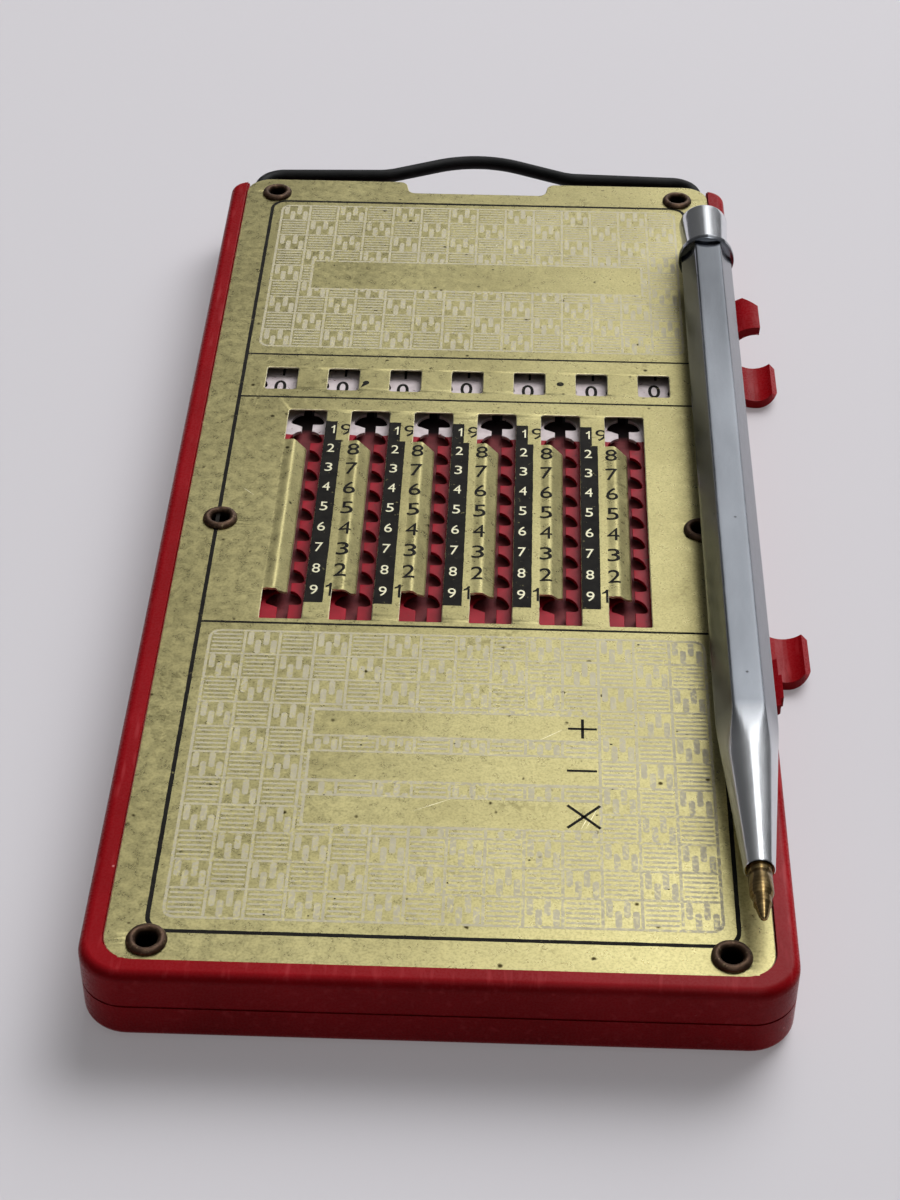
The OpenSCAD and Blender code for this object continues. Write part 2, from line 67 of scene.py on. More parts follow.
# The slides, and the slots midway between them.
SLIDE_BOXES = [span(f"slide_{number}") for number in range(1, 8)]
COLUMNS = [(low.x + high.x) / 2 for low, high in SLIDE_BOXES]
SLOTS = [(left + right) / 2 for left, right in zip(COLUMNS, COLUMNS[1:])]
NOTCH_PITCH = 3.5725

# Windows and slots. A slot and its lip are measured sideways from the slot's middle.
WINDOW_WIDE, WINDOW_LOW, WINDOW_TALL = 3.65, 20.8, 4.4
SLOT_LEFT, SLOT_RIGHT, SLOT_SPLIT = -2.2, 2.2, 0.28
SLOT_LOW, SLOT_HIGH = -20.3, 16.75
LIP_LOW, LIP_HIGH = SLOT_LOW + 4.8, SLOT_HIGH - 5.85
LIP_FOOT, LIP_CREST, LIP_RISE = -2.25, -1.25, 0.06
LIP_ROLL, LIP_ANGLE = 0.8, math.radians(33)

EYELETS = [(x, y) for x in (-26, 26) for y in (-65, -4, 65)]
EYELET_HOLE = 1.2

# The print: how far it lies to the right, its levels, its border and its checkered panels.
PRINT_SHIFT = 0.25
INK_LOW, INK_HIGH = PLATE_TOP - 0.006, PLATE_TOP + 0.008
BORDER_X, BORDER_LOW, BORDER_HIGH = 26.55, -63.75, 63.1
BORDER_WIDE, BORDER_ROUND = 0.42, 2
PANEL_X, TILE, GRID_LINE = 25.2, 3.6, 0.3
FIGURES = "123456789"

# The pen, measured along its axis from the point of its tip.
PEN_MIDDLE = sum(span("pen_crown"), Vector()) / 2
PEN_POINT = span("pen_tip")[0].y
ALONG_PEN = (Matrix.Translation((PEN_MIDDLE.x, PEN_POINT, PEN_MIDDLE.z))
             @ Matrix.Rotation(-math.pi / 2, 4, "X"))
BARREL_CORNER = 6.15 / 2
CONE_MOUTH, CONE_START, CONE_LONG = 1.42, 6, 19.6
BARREL_END, RING = 109.5, 3.38

MERGE = 0.0005


def lip_level(x):
    """Height of a rolled lip over the plate at a distance from the middle of its slot."""
    if x < LIP_CREST:
        ease = max(0, (x - LIP_FOOT) / (LIP_CREST - LIP_FOOT))
        return LIP_RISE * (1 - math.cos(math.pi * ease)) / 2
    beyond = x - LIP_CREST
    bend = LIP_ROLL * math.sin(LIP_ANGLE)
    if beyond < bend:
        return LIP_RISE + math.sqrt(LIP_ROLL ** 2 - beyond ** 2) - LIP_ROLL
    rolled = LIP_ROLL * (1 - math.cos(LIP_ANGLE))
    return LIP_RISE - rolled - (beyond - bend) * math.tan(LIP_ANGLE)


# ------------ finishes

def seen(red, green, blue):
    """A colour given as it looks on a screen, from 0 to 255."""
    def linear(part):
        part /= 255
        return part / 12.92 if part <= 0.04045 else ((part + 0.055) / 1.055) ** 2.4
    return (linear(red), linear(green), linear(blue), 1)


class Nodes:
    """A node tree being filled: short calls that add nodes to it."""

    def __init__(self, tree):
        self.tree = tree

    def plug(self, socket, value):
        """Fills an input, or links it when the value is another node's output."""
        if isinstance(value, bpy.types.NodeSocket):
            self.tree.links.new(value, socket)
        else:
            socket.default_value = value

    def node(self, kind, values=None, **settings):
        made = self.tree.nodes.new(kind)
        for name, value in settings.items():
            setattr(made, name, value)
        for name, value in (values or {}).items():
            self.plug(made.inputs[name], value)
        return made

    def step(self, source, low, high, first=0.0, last=1.0):
        """A source between low and high, spread from first to last."""
        return self.node("ShaderNodeMapRange", {
            "Value": source, "From Min": low, "From Max": high, "To Min": first,
            "To Max": last}).outputs[0]

    def maths(self, kind, first, second=0.0):
        return self.node("ShaderNodeMath", {0: first, 1: second}, operation=kind).outputs[0]


class Finish(Nodes):
    """A material being mixed."""

    def __init__(self, name, colour, roughness, metallic=0.0, **sockets):
        self.material = bpy.data.materials.new(name)
        self.material.use_nodes = True
        super().__init__(self.material.node_tree)
        self.shader = self.tree.nodes["Principled BSDF"]
        self.set("Base Color", colour)
        self.set("Roughness", roughness)
        self.set("Metallic", metallic)
        for socket, value in sockets.items():
            self.set(socket.replace("_", " "), value)

    def set(self, name, value):
        self.plug(self.shader.inputs[name], value)

    def place(self, stretch=(1, 1, 1)):
        """Position on the part, stretched along the axes."""
        spot = self.node("ShaderNodeTexCoord").outputs["Object"]
        return self.node("ShaderNodeMapping", {"Vector": spot, "Scale": stretch}).outputs[0]

    def along(self, axis):
        """Position along one axis, in metres."""
        spot = self.node("ShaderNodeTexCoord").outputs["Object"]
        return self.node("ShaderNodeSeparateXYZ", {"Vector": spot}).outputs[axis]

    def grain(self, per_mm, detail=2.0, stretch=(1, 1, 1), rough=0.5):
        """Soft noise with so many clouds to the millimetre."""
        return self.node("ShaderNodeTexNoise", {
            "Vector": self.place(stretch), "Scale": per_mm / MM, "Detail": detail,
            "Roughness": rough}).outputs[0]

    def spots(self, per_mm):
        return self.node("ShaderNodeTexVoronoi", {
            "Vector": self.place(), "Scale": per_mm / MM}).outputs["Distance"]

    def mix(self, share, first, second):
        """First colour where the share is 0, second where it is 1."""
        return self.node("ShaderNodeMix", {0: share, 6: first, 7: second},
                         data_type="RGBA").outputs[2]

    def clouds(self, per_mm, detail, low, high, first, second):
        """Clouds of the second colour in the first."""
        return self.mix(self.step(self.grain(per_mm, detail), low, high), first, second)

    def bump(self, source, deep, strength=1.0):
        """Roughens the surface by so many millimetres."""
        self.set("Normal", self.node("ShaderNodeBump", {
            "Height": source, "Distance": deep * MM, "Strength": strength}).outputs[0])


def gold_nodes(mixed):
    """Colour, roughness and fine grain of the gold anodised sheet."""
    colour = mixed.clouds(0.09, 4, 0.35, 0.65, seen(180, 171, 121), seen(196, 187, 134))
    fine = mixed.grain(4.4, 3, rough=0.6)
    colour = mixed.mix(mixed.step(fine, 0.34, 0.56, 0.4, 0), colour, seen(122, 114, 74))
    cloudy = mixed.step(mixed.grain(0.9, 5), 0.35, 0.7)
    colour = mixed.mix(mixed.maths("MULTIPLY", cloudy, 0.25), colour, seen(150, 140, 94))
    stain = mixed.maths("MULTIPLY", mixed.step(mixed.grain(0.12, 3), 0.56, 0.7),
                        mixed.step(mixed.grain(1.6, 4), 0.5, 0.6))
    colour = mixed.mix(mixed.maths("MULTIPLY", stain, 0.45), colour, seen(110, 104, 66))
    speck = mixed.maths("MULTIPLY", mixed.step(mixed.spots(0.42), 0.13, 0.06),
                        mixed.step(mixed.grain(0.5), 0.5, 0.56))
    colour = mixed.mix(speck, colour, seen(60, 52, 28))
    rough = mixed.step(mixed.maths("ADD", fine, cloudy), 0.4, 1.4, 0.26, 0.38)
    return colour, rough, fine


def gold_sheet():
    mixed = Finish("gold_anodised_sheet", seen(184, 176, 124), 0.34, 1.0)
    colour, rough, fine = gold_nodes(mixed)
    mixed.set("Base Color", colour)
    mixed.set("Roughness", rough)
    mixed.bump(fine, 0.006, 0.35)
    return mixed.material


def cut_edge():
    mixed = Finish("bare_cut_edge", seen(235, 228, 190), 0.35, 0.5)
    mixed.bump(mixed.grain(6, 3), 0.02, 0.8)
    return mixed.material


def pale_ink():
    """Thin pale print, smoother than the gold, rubbed away in places."""
    mixed = Finish("pale_grey_print", seen(170, 162, 134), 0.6, 0.1)
    gold, rough, fine = gold_nodes(mixed)
    worn = mixed.maths("MULTIPLY", mixed.step(mixed.grain(2.8, 5), 0.5, 0.6),
                       mixed.step(mixed.grain(0.11, 3), 0.36, 0.6, 0.25, 0.95))
    tone = mixed.clouds(0.6, 3, 0.3, 0.7, seen(160, 152, 125), seen(173, 165, 137))
    mixed.set("Base Color", mixed.mix(worn, tone, gold))
    mixed.set("Metallic", mixed.step(worn, 0, 1, 0.1, 0.9))
    mixed.set("Roughness", mixed.step(worn, 0, 1, 0.6, 0.4))
    mixed.bump(fine, 0.006, mixed.step(worn, 0, 1, 0.2, 0.35))
    return mixed.material


def dark_ink():
    """Black print, worn down to the gold in specks."""
    mixed = Finish("black_print", seen(22, 22, 22), 0.7, Specular_IOR_Level=0.06)
    worn = mixed.step(mixed.grain(1.8, 6), 0.67, 0.74)
    tone = mixed.clouds(0.7, 3, 0.3, 0.75, seen(17, 15, 13), seen(33, 31, 27))
    mixed.set("Base Color", mixed.mix(worn, tone, seen(112, 106, 72)))
    mixed.bump(mixed.grain(7, 3), 0.01, 0.4)
    return mixed.material


def light_figures():
    mixed = Finish("pale_gold_figures", seen(205, 200, 165), 0.45, 0.3)
    mixed.set("Base Color", mixed.mix(mixed.grain(3, 3), seen(190, 184, 142),
                                      seen(226, 222, 196)))
    return mixed.material


def red_plastic():
    """Glossy moulded plastic with fine rub marks and a few pale nicks."""
    mixed = Finish("glossy_red_plastic", seen(128, 10, 16), 0.28, Specular_IOR_Level=0.06)
    tone = mixed.clouds(0.12, 4, 0.3, 0.7, seen(124, 9, 15), seen(142, 16, 24))
    rub = mixed.step(mixed.grain(1.5, 5, (1, 0.15, 1)), 0.58, 0.75)
    tone = mixed.mix(mixed.maths("MULTIPLY", rub, 0.35), tone, seen(176, 58, 62))
    nick = mixed.maths("MULTIPLY", mixed.step(mixed.spots(0.35), 0.07, 0.04),
                       mixed.step(mixed.grain(0.4), 0.53, 0.6))
    mixed.set("Base Color", mixed.mix(nick, tone, seen(226, 150, 150)))
    mixed.set("Roughness", mixed.step(mixed.maths("ADD", rub, mixed.grain(4, 3)), 0.3, 1.5,
                                      0.24, 0.46))
    mixed.bump(mixed.grain(1.2, 4), 0.02, 0.35)
    return mixed.material


def inner_plastic():
    """Brown-red floor, with painted shade making it near black under the far ends of the slots.
    """
    mixed = Finish("brown_red_inner_plastic", seen(96, 36, 40), 0.7, Specular_IOR_Level=0.15)
    tone = mixed.clouds(0.8, 4, 0.35, 0.7, seen(90, 32, 36), seen(112, 46, 48))
    # Painted shade: the floor turns near black towards its far end, where the slot tops lie in
    # shadow.
    far_end_painted_shade = mixed.step(mixed.along("Y"), 14.4 * MM, 15.4 * MM)
    mixed.set("Base Color", mixed.mix(far_end_painted_shade, tone, seen(16, 6, 8)))
    mixed.bump(mixed.grain(3, 4), 0.02, 0.5)
    return mixed.material


def slide_paint():
    """Red paint, white at the upper end, on thin sheet."""
    mixed = Finish("red_and_white_slide_paint", seen(140, 14, 30), 0.42,
                   Specular_IOR_Level=0.1)
    uneven = mixed.step(mixed.grain(0.35, 3), 0, 1, -0.7 * MM, 0.7 * MM)
    white_low, white_high = 13.26, 13.36
    white = mixed.step(mixed.maths("ADD", mixed.along("Y"), uneven), white_low * MM,
                       white_high * MM)
    red = mixed.clouds(0.5, 4, 0.35, 0.7, seen(136, 12, 28), seen(156, 20, 38))
    pale = mixed.clouds(0.9, 4, 0.4, 0.8, seen(204, 192, 192), seen(180, 166, 168))
    tone = mixed.mix(white, red, pale)
    chip = mixed.step(mixed.grain(1.7, 6), 0.68, 0.72)
    mixed.set("Base Color", mixed.mix(chip, tone, seen(96, 40, 44)))
    mixed.set("Roughness", mixed.step(mixed.grain(2, 4), 0.2, 0.8, 0.34, 0.52))
    mixed.bump(mixed.grain(1.1, 4), 0.02, 0.4)
    return mixed.material


def aged_brass():
    """Dark brass with rubbed spots, and painted shade making it near black down the bores."""
    mixed = Finish("dark_rolled_brass", seen(112, 88, 66), 0.42, 0.8)
    tone = mixed.clouds(1.1, 5, 0.3, 0.7, seen(58, 42, 32), seen(90, 68, 52))
    rub = mixed.step(mixed.grain(2.6, 5), 0.6, 0.72)
    tone = mixed.mix(rub, tone, seen(120, 104, 78))
    # Painted shade: below the plate the brass is coloured near black, standing in for shade
    # down the bores.
    bore = mixed.step(mixed.along("Z"), (PLATE_TOP - 0.5) * MM, (PLATE_TOP + 0.3) * MM)
    mixed.set("Base Color", mixed.mix(bore, seen(14, 11, 9), tone))
    mixed.set("Roughness", mixed.step(mixed.grain(3, 4), 0.2, 0.8, 0.32, 0.58))
    mixed.bump(mixed.grain(2.2, 5), 0.04, 0.5)
    return mixed.material


def black_lacquer():
    mixed = Finish("black_lacquered_wire", seen(12, 12, 12), 0.5, Specular_IOR_Level=0.12)
    mixed.set("Base Color", mixed.clouds(0.6, 5, 0.35, 0.75, seen(9, 9, 10),
                                         seen(24, 24, 24)))
    mixed.set("Roughness", mixed.step(mixed.grain(2, 4), 0.2, 0.8, 0.42, 0.6))
    mixed.bump(mixed.grain(1.6, 4), 0.03, 0.4)
    return mixed.material


def chrome_plate():
    """Chrome plating, cloudy along the barrel, with painted highlight making it bright at both
    ends, and dark pits.
    """
    mixed = Finish("worn_chrome_plate", seen(132, 136, 142), 0.16, 1.0)
    cloud = mixed.step(mixed.grain(0.16, 5, (1, 0.25, 1)), 0.3, 0.7)
    tone = mixed.mix(cloud, seen(124, 128, 134), seen(142, 146, 152))
    # Painted highlight: the cone and the crown get a near-white colour, standing in for the
    # light they catch.
    cone_low, cone_high, crown_low, crown_high = [
        (PEN_POINT + along) * MM for along in (20, 26, 109, 109.6)]
    cone = mixed.step(mixed.along("Y"), cone_high, cone_low)
    crown = mixed.step(mixed.along("Y"), crown_low, crown_high)
    tone = mixed.mix(mixed.maths("MAXIMUM", cone, crown), tone, seen(228, 230, 233))
    pit = mixed.maths("MULTIPLY", mixed.step(mixed.spots(0.5), 0.1, 0.05),
                      mixed.step(mixed.grain(0.25, 3), 0.54, 0.6))
    mixed.set("Base Color", mixed.mix(pit, tone, seen(60, 62, 66)))
    rub = mixed.grain(2.2, 5, (1, 0.2, 1))
    mixed.set("Roughness", mixed.step(mixed.maths("ADD", rub, cloud), 0.5, 1.5, 0.1, 0.26))
    mixed.bump(rub, 0.006, 0.5)
    return mixed.material


def turned_brass():
    """Brass with fine rings round the pen's axis."""
    mixed = Finish("turned_brass", seen(140, 118, 78), 0.2, 1.0)
    rings = mixed.grain(5, 2, (0.05, 1, 0.05))
    mixed.set("Base Color", mixed.mix(mixed.step(rings, 0.35, 0.65), seen(118, 96, 60),
                                      seen(158, 136, 94)))
    mixed.bump(rings, 0.01, 0.5)
    return mixed.material


def plain_steel():
    mixed = Finish("plain_steel", seen(150, 152, 154), 0.35, 1.0)
    mixed.set("Roughness", mixed.step(mixed.grain(2, 4, (0.1, 1, 1)), 0.2, 0.8, 0.25, 0.5))
    mixed.bump(mixed.grain(4, 3, (0.1, 1, 1)), 0.01, 0.5)
    return mixed.material


def grey_felt():
    mixed = Finish("grey_felt", seen(112, 110, 104), 0.95, Sheen_Weight=0.4)
    mixed.set("Base Color", mixed.mix(mixed.grain(3, 6), seen(92, 90, 86),
                                      seen(134, 131, 124)))
    mixed.bump(mixed.grain(5, 6), 0.08, 0.9)
    return mixed.material


def ink_tube():
    mixed = Finish("ink_filled_tube", seen(46, 50, 92), 0.3, Transmission_Weight=0.2)
    mixed.set("Base Color", mixed.mix(mixed.grain(0.3, 3), seen(36, 40, 80),
                                      seen(62, 66, 112)))
    return mixed.material


GOLD = gold_sheet()
EDGE = cut_edge()
PALE = pale_ink()
DARK = dark_ink()
LIGHT = light_figures()
RED = red_plastic()
INNER = inner_plastic()
PAINT = slide_paint()
BRASS = aged_brass()
LACQUER = black_lacquer()
CHROME = chrome_plate()
TURNED = turned_brass()
STEEL = plain_steel()
FELT = grey_felt()
TUBE = ink_tube()


# ------------ shaping

def rounded(corners, steps=5):
    """An outline through corners given as (x, y, radius), each turned with an arc."""
    path = []
    for index, (x, y, radius) in enumerate(corners):
        here = Vector((x, y))
        if not radius:
            path.append((x, y))
            continue
        back = (Vector(corners[index - 1][:2]) - here).normalized()
        ahead = (Vector(corners[(index + 1) % len(corners)][:2]) - here).normalized()
        half = back.angle(ahead) / 2
        centre = here + (back + ahead).normalized() * (radius / math.sin(half))
        start = here + back * (radius / math.tan(half)) - centre
        end = here + ahead * (radius / math.tan(half)) - centre
        for step in range(steps + 1):
            point = centre + start.normalized().slerp(end.normalized(), step / steps) * radius
            path.append((point.x, point.y))
    return path


def box_outline(left, low, right, high, radius=0.0, steps=5):
    """A rectangle, with its corners rounded where a radius is given."""
    return rounded([(left, low, radius), (right, low, radius), (right, high, radius),
                    (left, high, radius)], steps)


def ring_outline(x, y, radius, steps=40):
    turns = [math.tau * step / steps for step in range(steps)]
    return [(x + radius * math.cos(turn), y + radius * math.sin(turn)) for turn in turns]


def wobble(x, y, z):
    """A push of up to 1 each way, the same in every run, which noise.noise_vector's isn't."""
    return Vector([noise.noise((x + shift, y - shift, z)) for shift in (9.3, 0, 6.3)])


def ragged(path, wear, spacing=0.35, seed=0.0):
    """The same closed outline with extra points, each pushed a little off its line."""
    made = []
    for start, end in zip(path, path[1:] + path[:1]):
        start, end = Vector(start), Vector(end)
        count = max(1, round((end - start).length / spacing))
        for step in range(count):
            point = start.lerp(end, step / count)
            push = wobble(point.x * 2.1, point.y * 2.1, seed)
            made.append((point.x + push.x * wear, point.y + push.y * wear))
    return made


def mesh_of(curve):
    holder = bpy.data.objects.new("outline", curve)
    flat = bpy.data.meshes.new_from_object(holder)
    shape = bmesh.new()
    shape.from_mesh(flat)
    bpy.data.objects.remove(holder)
    bpy.data.meshes.remove(flat)
    return shape


def cut_sheet(outlines, low, high, rim=0.0):
    """A flat sheet between two levels: the first outline with the others as holes in it."""
    curve = bpy.data.curves.new("outline", "CURVE")
    curve.dimensions = "2D"
    curve.fill_mode = "BOTH"
    for outline in outlines:
        spline = curve.splines.new("POLY")
        spline.points.add(len(outline) - 1)
        for point, (x, y) in zip(spline.points, outline):
            point.co = (x, y, 0, 1)
        spline.use_cyclic_u = True
    curve.extrude = (high - low) / 2 - rim
    curve.bevel_depth = rim
    curve.bevel_resolution = 2
    curve.offset = -rim
    shape = mesh_of(curve)
    bmesh.ops.remove_doubles(shape, verts=shape.verts, dist=MERGE)
    bmesh.ops.translate(shape, vec=(0, 0, (low + high) / 2), verts=shape.verts)
    return shape


def join(shape, other):
    """Adds another bmesh to a shape and frees it."""
    carried = bpy.data.meshes.new("carried")
    other.to_mesh(carried)
    other.free()
    shape.from_mesh(carried)
    bpy.data.meshes.remove(carried)
    return shape


def slab(shape, outline, low=INK_LOW, high=INK_HIGH):
    """A thin closed plate with a plain outline, added to a shape."""
    face = shape.faces.new([shape.verts.new((x, y, low)) for x, y in outline])
    made = bmesh.ops.extrude_face_region(shape, geom=[face])["geom"]
    raised = [part for part in made if isinstance(part, bmesh.types.BMVert)]
    bmesh.ops.translate(shape, vec=(0, 0, high - low), verts=raised)


def flagged_one():
    """Outline of a figure one with a slanting flag, one unit tall."""
    return [(0.24, 0), (0.24, 1), (0.08, 1), (-0.02, 0.86), (-0.22, 0.77), (-0.22, 0.66),
            (0.06, 0.74), (0.06, 0)]


def writing(text, tall, wide, x, y, level=INK_LOW, bold=0.0):
    """One printed figure with its middle at x, y, as a thin closed mesh."""
    thick, blunt = INK_HIGH - INK_LOW, 4 * MERGE
    if text == "1":
        shape = bmesh.new()
        slab(shape, flagged_one(), 0, 1)
        wide /= 2
    else:
        curve = bpy.data.curves.new("figure", "FONT")
        curve.body = text
        curve.extrude = 0.5
        curve.offset = bold
        curve.resolution_u = 4
        shape = mesh_of(curve)
    low, high = [Vector(edge(vert.co[axis] for vert in shape.verts) for axis in range(3))
                 for edge in (min, max)]
    size = high - low
    bmesh.ops.translate(shape, vec=(low + high) / -2, verts=shape.verts)
    bmesh.ops.scale(shape, vec=(wide / size.x, tall / size.y, thick / size.z),
                    verts=shape.verts)
    bmesh.ops.remove_doubles(shape, verts=shape.verts, dist=blunt)
    bmesh.ops.translate(shape, vec=(x, y, level + thick / 2), verts=shape.verts)
    return shape


def turned(profile, place, steps=48):
    """A closed profile of (radius, distance) spun round an axis, then put in its place."""
    shape = bmesh.new()
    verts = [shape.verts.new((radius, 0, along)) for radius, along in profile]
    edges = [shape.edges.new(pair) for pair in zip(verts, verts[1:] + verts[:1])]
    bmesh.ops.spin(shape, geom=verts + edges, cent=(0, 0, 0), axis=(0, 0, 1),
                   angle=math.tau, steps=steps, use_merge=True)
    bmesh.ops.transform(shape, matrix=place, verts=shape.verts)
    bmesh.ops.remove_doubles(shape, verts=shape.verts, dist=MERGE)
    return shape


def placed(name, data):
    made = bpy.data.objects.new(name, data)
    bpy.context.scene.collection.objects.link(made)
    return made


def printed(shape, name, material):
    """Finishes a print on the face, moved to the right with the whole print."""
    bmesh.ops.translate(shape, vec=(PRINT_SHIFT, 0, 0), verts=shape.verts)
    finished(shape, name, "case", [material])


def finished(shape, name, body, materials, replaced=(), sharp=35, outward=True):
    """Turns a bmesh in millimetres into a piece that rides on a body."""
    if outward:
        bmesh.ops.recalc_face_normals(shape, faces=shape.faces)
    bmesh.ops.scale(shape, vec=(MM, MM, MM), verts=shape.verts)
    mesh = bpy.data.meshes.new(name)
    shape.to_mesh(mesh)
    shape.free()
    mesh.shade_smooth()
    mesh.set_sharp_from_angle(angle=math.radians(sharp))
    for material in materials:
        mesh.materials.append(material)
    piece = placed(name, mesh)
    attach(piece, body)
    if replaced:
        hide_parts(*replaced)
    piece.modifiers.new("even_shading", "WEIGHTED_NORMAL").keep_sharp = True


def dressed_copy(node, body, material, sharp=30, flat_angle=0.3):
    """A merged and smoothly shaded copy of a CAD node, standing for it."""
    shape = bmesh.new()
    shape.from_mesh(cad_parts[node].data)
    bmesh.ops.scale(shape, vec=(1 / MM, 1 / MM, 1 / MM), verts=shape.verts)
    bmesh.ops.remove_doubles(shape, verts=shape.verts, dist=MERGE)
    bmesh.ops.dissolve_limit(shape, angle_limit=math.radians(flat_angle),
                             verts=shape.verts, edges=shape.edges)
    finished(shape, node + "_dressed", body, [material], [node], sharp, outward=False)


# ------------ face plate

def plate_outline():
    """Outline of the gold sheet with its finger notch."""
    left, right = PLATE_LOW.x, PLATE_HIGH.x
    low, high = PLATE_LOW.y, PLATE_HIGH.y
    mouth, mouth_round, floor_round = NOTCH_HALF + 0.5, 1.1, 1
    return rounded([(left, low, PLATE_ROUND), (right, low, PLATE_ROUND),
                    (right, high, PLATE_ROUND), (mouth, high, mouth_round),
                    (NOTCH_HALF, NOTCH_FLOOR, floor_round),
                    (-NOTCH_HALF, NOTCH_FLOOR, floor_round),
                    (-mouth, high, mouth_round), (left, high, PLATE_ROUND)], steps=8)


def slot_hole(x):
    """Outline of one slot, with the bay that its lip covers, cut a little unevenly."""
    under = LIP_FOOT + 0.1
    round_top, round_low = 0.4, 0.15
    corners = [(SLOT_LEFT, SLOT_LOW, round_low), (SLOT_RIGHT, SLOT_LOW, round_low),
               (SLOT_RIGHT, SLOT_HIGH, round_top), (SLOT_LEFT, SLOT_HIGH, round_top),
               (SLOT_LEFT, LIP_HIGH, 0), (under, LIP_HIGH, 0), (under, LIP_LOW, 0),
               (SLOT_LEFT, LIP_LOW, 0)]
    return ragged([(x + px, y) for px, y in rounded(corners)], wear=0.035, seed=x)


def lip_end(x, seed):
    """Where a lip starts, torn and rounded, and stops, at a slant, at a distance x."""
    corner_from, corner, slant_from, slant = -0.4, 0.4, -1.2, 0.55
    tear = 0.12 * noise.noise((x * 2.6, seed, 3)) + 0.05 * noise.noise((x * 9, seed, 5))
    start = corner * max(0, (x - corner_from) / (SLOT_SPLIT - corner_from)) ** 2
    return LIP_LOW + tear + start, LIP_HIGH - slant * max(0, x - slant_from)


def rolled_lip(x):
    """One rolled lip: its section is drawn once and pulled along the slot."""
    shape = bmesh.new()
    steps, rows = 24, 48
    sink, corner, dent = 0.006, 0.04, 0.05
    line = [LIP_FOOT + (SLOT_SPLIT - LIP_FOOT) * step / steps for step in range(steps + 1)]
    upper = [(px, lip_level(px) - sink) for px in line]
    lower = [(px, level - PLATE_THICK) for px, level in upper]
    upper[-1] = (upper[-1][0] - corner, upper[-1][1])
    section = upper + [(line[-1], upper[-1][1] - corner)] + lower[::-1]
    face = shape.faces.new([shape.verts.new((px, 0, pz)) for px, pz in section])
    bmesh.ops.spin(shape, geom=[face], cent=(0, 0, 0), axis=(0, 1, 0), angle=0,
                   dvec=(0, 1 / rows, 0), steps=rows)
    bmesh.ops.recalc_face_normals(shape, faces=shape.faces)
    for vert in shape.verts:
        low, high = lip_end(vert.co.x, x)
        along = low + vert.co.y * (high - low)
        free = max(0, vert.co.x - LIP_CREST)
        bent = dent * noise.noise((vert.co.x * 0.6, along * 0.35, x)) * free
        vert.co = (x + vert.co.x, along, PLATE_TOP + vert.co.z + bent)
    return shape


def bare_where_steep(shape, limit):
    """Gives the cut faces of a sheet the finish of bare metal, its second material."""
    shape.normal_update()
    for face in shape.faces:
        if abs(face.normal.z) < limit:
            face.material_index = 1
    return shape


def make_face_plate():
    """The gold sheet with its windows, slots, eyelet holes and rolled lips."""
    window_round, rim = 0.35, 0.1
    holes = []
    for index, x in enumerate(COLUMNS):
        window = box_outline(x - WINDOW_WIDE / 2, WINDOW_LOW, x + WINDOW_WIDE / 2,
                             WINDOW_LOW + WINDOW_TALL, window_round)
        holes.append(ragged(window, wear=0.03, seed=index))
    holes += [slot_hole(x) for x in SLOTS]
    holes += [ring_outline(x, y, EYELET_HOLE) for x, y in EYELETS]
    shape = cut_sheet([plate_outline()] + holes, PLATE_TOP - PLATE_THICK, PLATE_TOP, rim)
    bare_where_steep(shape, 0.9)
    for x in SLOTS:
        join(shape, bare_where_steep(rolled_lip(x), 0.5))
    finished(shape, "face_plate_sheet", "case", [GOLD, EDGE], ["face_plate"],
             outward=False)


# ------------ print

def draped(shape, x):
    """Lays a printed figure over the rise beside the lip of the slot at x."""
    cuts, past_crest = 6, 0.4
    reach = LIP_CREST + past_crest - LIP_FOOT
    for step in range(cuts + 1):
        here = x - PRINT_SHIFT + LIP_FOOT + reach * step / cuts
        bmesh.ops.bisect_plane(shape, geom=shape.verts[:] + shape.edges[:] + shape.faces[:],
                               plane_co=(here, 0, 0), plane_no=(1, 0, 0), dist=MERGE)
    for vert in shape.verts:
        if vert.co.x < x and LIP_LOW < vert.co.y < LIP_HIGH:
            vert.co.z += lip_level(vert.co.x + PRINT_SHIFT - x)
    return shape


def make_border():
    """Closed line round the face and the three lines across it."""
    half, cross_half = BORDER_WIDE / 2, 0.15
    over_windows, under_windows, under_slots = 27.85, 19.15, -21.1
    outer = box_outline(-BORDER_X - half, BORDER_LOW - half, BORDER_X + half,
                        BORDER_HIGH + half, BORDER_ROUND, 8)
    inner = box_outline(-BORDER_X + half, BORDER_LOW + half, BORDER_X - half,
                        BORDER_HIGH - half, BORDER_ROUND - BORDER_WIDE, 8)
    edges = [ragged(edge, wear=0.03, spacing=0.8) for edge in (outer, inner)]
    shape = cut_sheet(edges, INK_LOW, INK_HIGH)
    for y in (over_windows, under_windows, under_slots):
        line = box_outline(half - BORDER_X, y - cross_half, BORDER_X - half, y + cross_half)
        slab(shape, ragged(line, wear=0.02, spacing=0.8))
    printed(shape, "printed_lines", DARK)


def make_strips():
    """Black strips that carry the pale figures, right of the first five slots."""
    left, narrow, wide = SLOT_RIGHT + 0.02 - PRINT_SHIFT, 3.3, 3.95
    low, shoulder, high = -17.65, 10.97, 14.55
    corners = [(left, low), (wide, low), (wide, shoulder), (narrow, shoulder),
               (narrow, high), (left, high)]
    shape = bmesh.new()
    for x in SLOTS[:5]:
        slab(shape, ragged([(x + px, y) for px, y in corners], wear=0.04, spacing=0.5, seed=x))
    printed(shape, "printed_strips", DARK)


